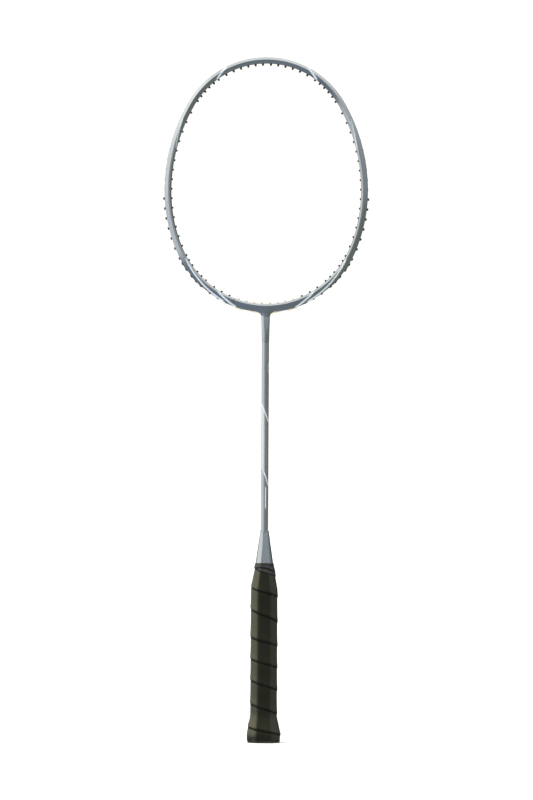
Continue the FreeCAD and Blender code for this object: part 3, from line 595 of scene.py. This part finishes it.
# Speckled fields on each half of the hoop, in mm from the crown: start, end and softness.
HOOP_FIELDS = ((96, 128, 5), (244, 306, 8))
# Dots, here and on the shaft: scale, and the noise level where a dot starts and where it is full.
HOOP_DOTS = (1600.0, 0.45, 0.62)
HOOP_DOT_TINT = (0.72, 0.78, 0.82, 1)


def frame_paint():
    """Pearl blue-grey lacquer with pale diagonal stripes and speckled fields between them."""
    material, tree, shader = new_material("frame_paint", **PAINT)
    place, _ = object_place(tree)
    base = pearl_paint(tree, place)
    hoop = add_node(tree, "ShaderNodeAttribute", attribute_name="hoop").outputs["Vector"]
    along, outward, _ = add_node(tree, "ShaderNodeSeparateXYZ", {"Vector": hoop}).outputs
    upper, lower = (band_mask(tree, along, a * MM, b * MM, soft * MM) for a, b, soft in HOOP_FIELDS)
    fields = math_node(tree, "MAXIMUM", upper, lower)
    dots = speckles(tree, place, *HOOP_DOTS)
    colour = add_tint(tree, base, fields, dots, 0.15, HOOP_DOT_TINT)
    add_white_paint(tree, shader, colour, all_stripes(tree, along, outward, HOOP_STRIPES))
    return material


# Thin white diagonals across the shaft's front, in mm: (height, distance right of the axis) at each
# end, half width and strength.
SHAFT_STRIPES = (
    ((316.0, 3.5), (334.0, -3.5), 0.55, 1.0),
    ((253.0, 3.5), (267.0, -0.8), 0.55, 1.0),
    ((363.5, 3.4), (369.0, 2.4), 0.3, 0.7),
    ((369.0, 2.4), (374.5, 3.4), 0.3, 0.7),
)
# The field between the two long diagonals slants as the upper one does. Its start and end on the
# axis, and its softness; then the same of a second field that lies above it.
SHAFT_SLANT = 18.0 / 7.0
SHAFT_FIELD = (262 * MM, 325 * MM, 0.8 * MM)
SHAFT_UPPER_FIELD = (330 * MM, 376 * MM, 3 * MM)
# Where the field's pale left side starts and is full, right of the axis.
SHAFT_LEFT = (0.4 * MM, -0.6 * MM)
SHAFT_PALE = (0.74, 0.77, 0.78, 1)
DARK_DOTS = (1300.0, 0.50, 0.60)
DARK_DOT_TINT = (0.13, 0.15, 0.14, 1)
LIGHT_DOTS = (1700.0, 0.52, 0.60)
LIGHT_DOT_TINT = (0.86, 0.88, 0.88, 1)
# A slim pale blade right of the axis, below the diagonals.
BLADE_ACROSS = (0.35 * MM, 1.35 * MM, 0.15 * MM)
BLADE_HEIGHT = (231 * MM, 252 * MM, 1.5 * MM)


def shaft_paint():
    """The frame's lacquer with white diagonals, speckled fields and one slim pale blade."""
    material, tree, shader = new_material("shaft_paint", **PAINT)
    place, (x, _, z) = object_place(tree)
    colour = pearl_paint(tree, place)
    # The field between the diagonals is paler on the left, and has dark dots on the right.
    slant = math_node(tree, "MULTIPLY_ADD", x, SHAFT_SLANT, z)
    field = band_mask(tree, slant, *SHAFT_FIELD)
    left = map_range(tree, x, *SHAFT_LEFT)
    right = math_node(tree, "SUBTRACT", 1.0, left)
    colour = add_tint(tree, colour, field, left, 0.7, SHAFT_PALE)
    upper = band_mask(tree, z, *SHAFT_UPPER_FIELD)
    dotted = math_node(tree, "MULTIPLY", math_node(tree, "MAXIMUM", field, upper), right)
    colour = add_tint(tree, colour, dotted, speckles(tree, place, *DARK_DOTS), 0.5, DARK_DOT_TINT)
    colour = add_tint(tree, colour, field, speckles(tree, place, *LIGHT_DOTS), 0.6, LIGHT_DOT_TINT)
    blade = math_node(
        tree, "MULTIPLY", band_mask(tree, x, *BLADE_ACROSS), band_mask(tree, z, *BLADE_HEIGHT)
    )
    white = math_node(tree, "MAXIMUM", all_stripes(tree, z, x, SHAFT_STRIPES), blade)
    add_white_paint(tree, shader, colour, white)
    return material


def cone_paint():
    """The frame's lacquer again, plain."""
    material, tree, shader = new_material("cone_paint", **PAINT)
    place, _ = object_place(tree)
    tree.links.new(pearl_paint(tree, place), shader.inputs["Base Color"])
    return material


PLASTIC_RELIEF = 0.05 * MM


def plastic(name, dark, light, roughness, grain=900.0):
    """Moulded plastic or wood: two close tones mixed by fine noise, with a faint matching relief."""
    material, tree, shader = new_material(name, Roughness=roughness)
    place, _ = object_place(tree)
    speck = noise(tree, place, grain)
    tree.links.new(ramp(tree, speck, ((0.3, dark), (0.7, light))), shader.inputs["Base Color"])
    add_bump(tree, shader, speck, PLASTIC_RELIEF, 0.4)
    return material


LEATHER_DARK = (0.003, 0.004, 0.004, 1)
LEATHER_LIGHT = (0.007, 0.008, 0.007, 1)
LEATHER_SHEEN = (1.0, 0.98, 0.62, 1)
# How far the leather turns away, from face on at 0, where its gloss starts to rise and is full.
GLOSS_TURN = (0.04, 0.27)
SPECULAR_RISE = (0.40, 1.0)
COAT_RISE = (0.0, 0.2)
LEATHER_RELIEF = 0.12 * MM


def grip_leather():
    """Olive-black leather; its worn film shines more as it turns away. Its shine is taken out in the
    seams as painted shade.
    """
    material, tree, shader = new_material(
        "grip_wrap", Roughness=0.27, Specular_Tint=LEATHER_SHEEN, Coat_Roughness=0.3
    )
    place, _ = object_place(tree)
    broad = noise(tree, place, 60.0)
    fine = noise(tree, place, 1500.0)
    colour = ramp(tree, broad, ((0.3, LEATHER_DARK), (0.7, LEATHER_LIGHT)))
    tree.links.new(colour, shader.inputs["Base Color"])
    turned = add_node(tree, "ShaderNodeLayerWeight", {"Blend": 0.5}).outputs["Facing"]
    gloss = map_range(tree, turned, *GLOSS_TURN, *SPECULAR_RISE)
    # Painted shade: the seam attribute takes the leather's shine out where the tape's turns meet, so
    # the seams read dark.
    seam = add_node(tree, "ShaderNodeAttribute", attribute_name="seam").outputs["Fac"]
    open_face = math_node(tree, "SUBTRACT", 1.0, seam)
    shine = math_node(tree, "MULTIPLY", gloss, open_face)
    tree.links.new(shine, shader.inputs["Specular IOR Level"])
    coat = map_range(tree, turned, *GLOSS_TURN, *COAT_RISE)
    tree.links.new(coat, shader.inputs["Coat Weight"])
    add_bump(tree, shader, fine, LEATHER_RELIEF, 0.5)
    return material


FILM_DARK = (0.003, 0.004, 0.003, 1)
FILM_LIGHT = (0.008, 0.009, 0.008, 1)
FILM_RELIEF = 0.5 * MM


def finishing_film():
    """Glossy black stretched film."""
    material, tree, shader = new_material(
        "finishing_film", Roughness=0.12, Specular_IOR_Level=0.3, Coat_Weight=0.6
    )
    place, _ = object_place(tree)
    broad = noise(tree, place, 120.0)
    colour = ramp(tree, broad, ((0.3, FILM_DARK), (0.7, FILM_LIGHT)))
    tree.links.new(colour, shader.inputs["Base Color"])
    add_bump(tree, shader, broad, FILM_RELIEF, 0.35)
    return material


FRAME_PAINT = frame_paint()
SHAFT_PAINT = shaft_paint()
CONE_PAINT = cone_paint()
COMPOSITE = plastic("joint_composite", (0.02, 0.02, 0.022, 1), (0.05, 0.05, 0.055, 1), 0.5)
BUTT_PLASTIC = plastic("butt_plastic", (0.015, 0.016, 0.013, 1), (0.025, 0.026, 0.02, 1), 0.4)
DARK_NYLON = plastic("grommet_dark", (0.018, 0.019, 0.012, 1), (0.035, 0.036, 0.024, 1), 0.35)
PALE_NYLON = plastic("grommet_pale", (0.60, 0.53, 0.42, 1), (0.70, 0.64, 0.53, 1), 0.4)
WOOD = plastic("handle_wood", (0.42, 0.27, 0.14, 1), (0.55, 0.38, 0.21, 1), 0.6, grain=160.0)
GRIP_LEATHER = grip_leather()
FINISHING_FILM = finishing_film()

GROMMET_ROWS = {
    "crown_grommets": DARK_NYLON,
    "shoulder_grommet_strip": DARK_NYLON,
    "side_grommets": DARK_NYLON,
    "lower_side_strip": DARK_NYLON,
    "quarter_strip": DARK_NYLON,
    "lower_grommets": DARK_NYLON,
    "throat_grommet_strip": PALE_NYLON,
}
NODE_MATERIALS = {
    "hoop_frame": FRAME_PAINT,
    "t_joint": COMPOSITE,
    "shaft": SHAFT_PAINT,
    "cone_cap": CONE_PAINT,
    "handle_core": WOOD,
    "butt_cap": BUTT_PLASTIC,
    "grip_tape": GRIP_LEATHER,
    "finishing_tape": FINISHING_FILM,
}
for row, row_material in GROMMET_ROWS.items():
    NODE_MATERIALS.update({f"{row}_{side}": row_material for side in ("left", "right")})


def dress_cad():
    for node, material in NODE_MATERIALS.items():
        mesh = bpy.data.objects[node].data
        mesh.materials.clear()
        mesh.materials.append(material)


# ---------------------------------------------------------------- the wound grip

# Half width, half depth and height of the grip's octagon, in mm.
GRIP_STATIONS = (
    (14.7, 13.2, 0.0),
    (15.8, 14.3, 1.0),
    (16.4, 14.9, 3.0),
    (16.7, 15.2, 8.0),
    (15.3, 13.8, 16.0),
    (13.2, 11.7, 26.0),
    (13.2, 11.7, 151.0),
    (11.0, 10.4, 164.0),
    (10.2, 9.9, 168.0),
    (8.3, 8.3, 177.0),
)
# Heights where the tape's lower edge crosses the left and right edges of the grip in turn, from the
# top down, in mm. The tape is wound by hand, so the steps are uneven.
SEAM_HEIGHTS = (
    194.0, 184.0, 172.4, 163.7,
    153.6, 143.0, 132.6, 118.0,
    104.1, 94.5, 83.1, 73.0,
    62.2, 50.9, 38.8, 27.5,
    15.8, 7.0, -6.0, -17.0, -28.0,
)
OCTAGON_SHARPNESS = 18
OCTAGON_CUT = 0.62


def grip_size(z):
    heights = [station[2] for station in GRIP_STATIONS]
    half = np.interp(z / MM, heights, [station[0] for station in GRIP_STATIONS])
    deep = np.interp(z / MM, heights, [station[1] for station in GRIP_STATIONS])
    return half * MM, deep * MM


def octagon_radius(angle, half, deep):
    """Distance from the axis to a soft-cornered octagon in the direction of an angle from +X."""
    cut = OCTAGON_CUT * deep
    slant = (half + deep - cut) / math.sqrt(2)
    total = 0
    for index, distance in enumerate((half, slant, deep, slant) * 2):
        facing = np.maximum(np.cos(angle - index * math.pi / 4), 0)
        total = total + (facing / distance) ** OCTAGON_SHARPNESS
    return total ** (-1 / OCTAGON_SHARPNESS)


# One turn of the tape, from its own lower edge at 0 to the edge of the turn above at 1: the height
# of its outside in mm, and how far it lies in the seam's shade.
WRAP_SHARES = (0.0, 0.015, 0.05, 0.1, 0.25, 0.6, 0.93, 0.985, 1.0)
WRAP_HEIGHTS = (-0.15, 0.1, 0.4, 0.45, 0.15, 0.0, -0.05, -0.1, -0.15)
SHADE_SHARES = (0.0, 0.02, 0.07, 0.95, 0.98, 1.0)
SHADES = (1, 1, 0, 0, 1, 1)
WRAP_COLUMNS = (
    0, 0.015, 0.035, 0.06, 0.1, 0.16, 0.25, 0.4, 0.55, 0.7, 0.85, 0.93, 0.97, 0.99, 1.0,
)
STEPS_PER_HALF_TURN = 40
# The tape's lowest height, and how far it runs up under the film.
WRAP_FOOT = 0.6 * MM
UNDER_FILM = 1.5 * MM

FILM_MIDDLE = 167.7 * MM
FILM_SLANT = 3.9 * MM
FILM_HIGH = 177.3 * MM
FILM_LIFT = 0.8 * MM
FILM_EDGE_ROUND = 0.6 * MM
FILM_EDGE_LIFT = 0.3
FILM_ROWS = 40
FILM_COLUMNS = 144
# The curved ridge across the film's front: its top, how far left of the axis that lies, how fast it
# falls away sideways, and the fold below it. Heights and depths of creases are in mm.
RIDGE_TOP = 173.6 * MM
RIDGE_LEFT = 2.5 * MM
RIDGE_FALL = 33.0
RIDGE_HEIGHT = 0.70
RIDGE_HALF = 0.55 * MM
FOLD_DROP = 2.3 * MM
FOLD_DEPTH = 0.35
FOLD_HALF = 1.0 * MM
FILM_RADIUS = 9.0 * MM
FRONT_SHARPNESS = 1.6
# Fine folds: height, waves round the film, phase gained per metre up, and phase at the start.
FINE_FOLDS = ((0.08, 3, 900.0, 0.0), (0.05, 7, -1500.0, 1.0))


def film_edge(angle):
    """Height of the film's lower edge, higher on the left than on the right."""
    return FILM_MIDDLE - FILM_SLANT * np.cos(angle)


def film_relief(angle, z):
    """Height of the film's creases: one curved ridge at the front, and finer pulled folds."""
    x = np.cos(angle) * FILM_RADIUS
    above_ridge = z - (RIDGE_TOP - RIDGE_FALL * (x + RIDGE_LEFT) ** 2)
    near_front = np.clip(-np.sin(angle) * FRONT_SHARPNESS, 0, 1)
    ridge = RIDGE_HEIGHT * near_front * np.exp(-((above_ridge / RIDGE_HALF) ** 2))
    fold = FOLD_DEPTH * near_front * np.exp(-(((above_ridge + FOLD_DROP) / FOLD_HALF) ** 2))
    fine = sum(
        high * np.sin(waves * angle + z * gain + start) for high, waves, gain, start in FINE_FOLDS
    )
    return (ridge - fold + fine) * MM


def round_handle(angle, radius, z):
    """Points at an angle, a radius and a height about the racket's axis."""
    return np.stack([radius * np.cos(angle), radius * np.sin(angle), z], -1).reshape(-1, 3)


def build_grip():
    """One band of tape wound down the handle, its lower edge proud of the turn below it."""
    turns = np.arange((len(SEAM_HEIGHTS) - 3) * STEPS_PER_HALF_TURN + 1) / STEPS_PER_HALF_TURN
    across = np.array(WRAP_COLUMNS)
    steps = np.arange(len(SEAM_HEIGHTS))
    upper = np.interp(turns, steps, SEAM_HEIGHTS) * MM
    lower = np.interp(turns + 2, steps, SEAM_HEIGHTS) * MM
    z = lower[:, None] + (upper - lower)[:, None] * across[None, :]
    # The winding starts at the left, and comes to the front first.
    angle = np.broadcast_to((math.pi + turns * math.pi)[:, None], z.shape)
    z = np.clip(z, WRAP_FOOT, film_edge(angle) + UNDER_FILM)
    relief = np.interp(across, WRAP_SHARES, WRAP_HEIGHTS) * MM
    radius = octagon_radius(angle, *grip_size(z)) + relief[None, :]
    vertices = round_handle(angle, radius, z)
    faces = grid_faces(len(turns), len(across), wrap=False)
    # Painted shade in the seams, carried to the leather as the seam attribute.
    shade = np.interp(across, SHADE_SHARES, SHADES)
    seam = {"seam": np.broadcast_to(shade[None, :, None], (len(turns), len(across), 3))}
    piece = make_piece("grip_wrap", vertices, faces, GRIP_LEATHER, ("grip_tape",), seam)
    fix_normals(piece)


def build_film():
    """Stretched finishing film over the top end of the grip."""
    turns = np.linspace(0, 2 * math.pi, FILM_COLUMNS, endpoint=False)
    share, angle = np.meshgrid(np.linspace(0, 1, FILM_ROWS), turns, indexing="ij")
    z = film_edge(angle) + (FILM_HIGH - film_edge(angle)) * share
    inward = np.minimum(z - film_edge(angle), FILM_HIGH - z)
    edge = np.clip(inward / FILM_EDGE_ROUND, 0, 1)
    lift = (FILM_LIFT + film_relief(angle, z)) * (FILM_EDGE_LIFT + (1 - FILM_EDGE_LIFT) * edge)
    vertices = round_handle(angle, octagon_radius(angle, *grip_size(z)) + lift, z)
    faces = grid_faces(FILM_ROWS, FILM_COLUMNS)
    tape = "finishing_tape"
    piece = make_piece("finishing_film", vertices, faces, FINISHING_FILM, (tape,))
    fix_normals(piece)


# ---------------------------------------------------------------- studio

FLOOR_SIZE = 20.0


def build_floor():
    """A plain pale floor under the butt."""
    bpy.ops.mesh.primitive_plane_add(size=FLOOR_SIZE, location=(0, 0, 0))
    floor = bpy.context.object
    floor.name = "studio_floor"
    material, tree, shader = new_material("studio_floor", Roughness=0.9, Specular_IOR_Level=0.1)
    place, _ = object_place(tree)
    tone = ramp(tree, noise(tree, place, 3.0), ((0.3, 0.90), (0.7, 0.91)))
    tree.links.new(tone, shader.inputs["Base Color"])
    floor.data.materials.append(material)


WORLD_BASE = 0.48
WORLD_LEAST = 0.04
BACKDROP = 1.1
# Broad lobes of light and shade: direction, the cosine to it where the lobe starts and where it is
# full, and the level it adds.
WORLD_LOBES = (
    ((-1.0, 0.0, 0.10), 0.62, 0.80, 0.76),
    ((0.0, 0.0, 1.0), 0.20, 0.95, 0.90),
    ((0.0, 1.0, 0.0), 0.30, 0.75, -0.25),
    ((0.75, 0.65, -0.10), 0.45, 0.95, -0.20),
)
# The light's tint at its levels.
WORLD_TINTS = (
    (0.05, (0.95, 1.0, 0.62, 1)),
    (0.30, (0.83, 0.94, 1.0, 1)),
    (0.90, (1.0, 0.98, 0.93, 1)),
)


def build_world():
    """White to the camera; to the racket, bright above and to the left, dim in front and dark
    behind and to the right."""
    world = bpy.data.worlds.new("studio")
    bpy.context.scene.world = world
    world.use_nodes = True
    tree = world.node_tree
    direction = add_node(tree, "ShaderNodeTexCoord").outputs["Generated"]
    parts = add_node(tree, "ShaderNodeSeparateXYZ", {"Vector": direction}).outputs
    level = WORLD_BASE
    for lobe, start, full, amount in WORLD_LOBES:
        cosine = 0.0
        for part, weight in zip(parts, lobe):
            cosine = math_node(tree, "MULTIPLY_ADD", part, weight, cosine)
        share = map_range(tree, cosine, start, full)
        level = math_node(tree, "MULTIPLY_ADD", share, amount, level)
    level = math_node(tree, "MAXIMUM", level, WORLD_LEAST)
    seen = add_node(tree, "ShaderNodeLightPath").outputs["Is Camera Ray"]
    level = math_node(tree, "MAXIMUM", level, math_node(tree, "MULTIPLY", seen, BACKDROP))
    background = tree.nodes["Background"]
    tree.links.new(ramp(tree, level, WORLD_TINTS), background.inputs["Color"])
    tree.links.new(level, background.inputs["Strength"])


# The card's glow at places across it: metres right of the racket, and the colour there.
CARD_GLOW = (
    (-1.2, (0.95, 0.98, 0.98, 1)),
    (-0.9, (0.26, 0.30, 0.35, 1)),
    (-0.2, (0.26, 0.30, 0.35, 1)),
    (0.6, (0.23, 0.25, 0.22, 1)),
)
CARD_SIZE = 60.0
CARD_BACK = 10.0
CARD_HEIGHT = 0.5 * MM


def build_glow_card():
    """A dim glowing card flat on the floor, brighter to the left, seen only in reflections."""
    middle = (0, CARD_BACK - CARD_SIZE / 2, CARD_HEIGHT)
    bpy.ops.mesh.primitive_plane_add(size=CARD_SIZE, location=middle)
    card = bpy.context.object
    card.name = "glow_card"
    card.visible_camera = False
    card.visible_shadow = False
    card.visible_diffuse = False
    material, tree, shader = new_material(
        "glow_card", Base_Color=(0, 0, 0, 1), Specular_IOR_Level=0.0
    )
    shader.inputs["Emission Strength"].default_value = 1.0
    _, (x, _, _) = object_place(tree)
    first, last = CARD_GLOW[0][0], CARD_GLOW[-1][0]
    across = map_range(tree, x, first, last)
    stops = [((place - first) / (last - first), colour) for place, colour in CARD_GLOW]
    tree.links.new(ramp(tree, across, stops), shader.inputs["Emission Color"])
    card.data.materials.append(material)


# The spread is in degrees.
SUN_FROM = (-0.62, -0.25, 0.75)
SUN_STRENGTH = 2.6
SUN_SPREAD = 90


def build_sun():
    """A very soft key light from the upper left and front, which leaves no spot in reflections."""
    light = bpy.data.lights.new("key", "SUN")
    light.energy = SUN_STRENGTH
    light.angle = math.radians(SUN_SPREAD)
    lamp = bpy.data.objects.new("key", light)
    lamp.rotation_euler = (-Vector(SUN_FROM)).to_track_quat("-Z", "Y").to_euler()
    lamp.visible_glossy = False
    bpy.context.scene.collection.objects.link(lamp)


# The roll is in degrees.
CAMERA_PLACE = (0.0013, -6.0, 0.3377)
CAMERA_ROLL = -0.30
VIEW_SIZE = 0.7888


def build_camera():
    """Looks level at the racket's middle; the longer side of the view spans VIEW_SIZE there."""
    camera = bpy.data.cameras.new("camera")
    camera.sensor_width = 36.0
    camera.lens = -CAMERA_PLACE[1] * camera.sensor_width / VIEW_SIZE
    eye = bpy.data.objects.new("camera", camera)
    eye.location = CAMERA_PLACE
    eye.rotation_euler = (math.radians(90), math.radians(CAMERA_ROLL), 0)
    bpy.context.scene.collection.objects.link(eye)
    bpy.context.scene.camera = eye


dress_cad()
build_hoop()
build_throat()
build_pale_strips()
build_grip()
build_film()
build_floor()
build_glow_card()
build_world()
build_sun()
build_camera()
bpy.context.scene.view_settings.view_transform = "Standard"
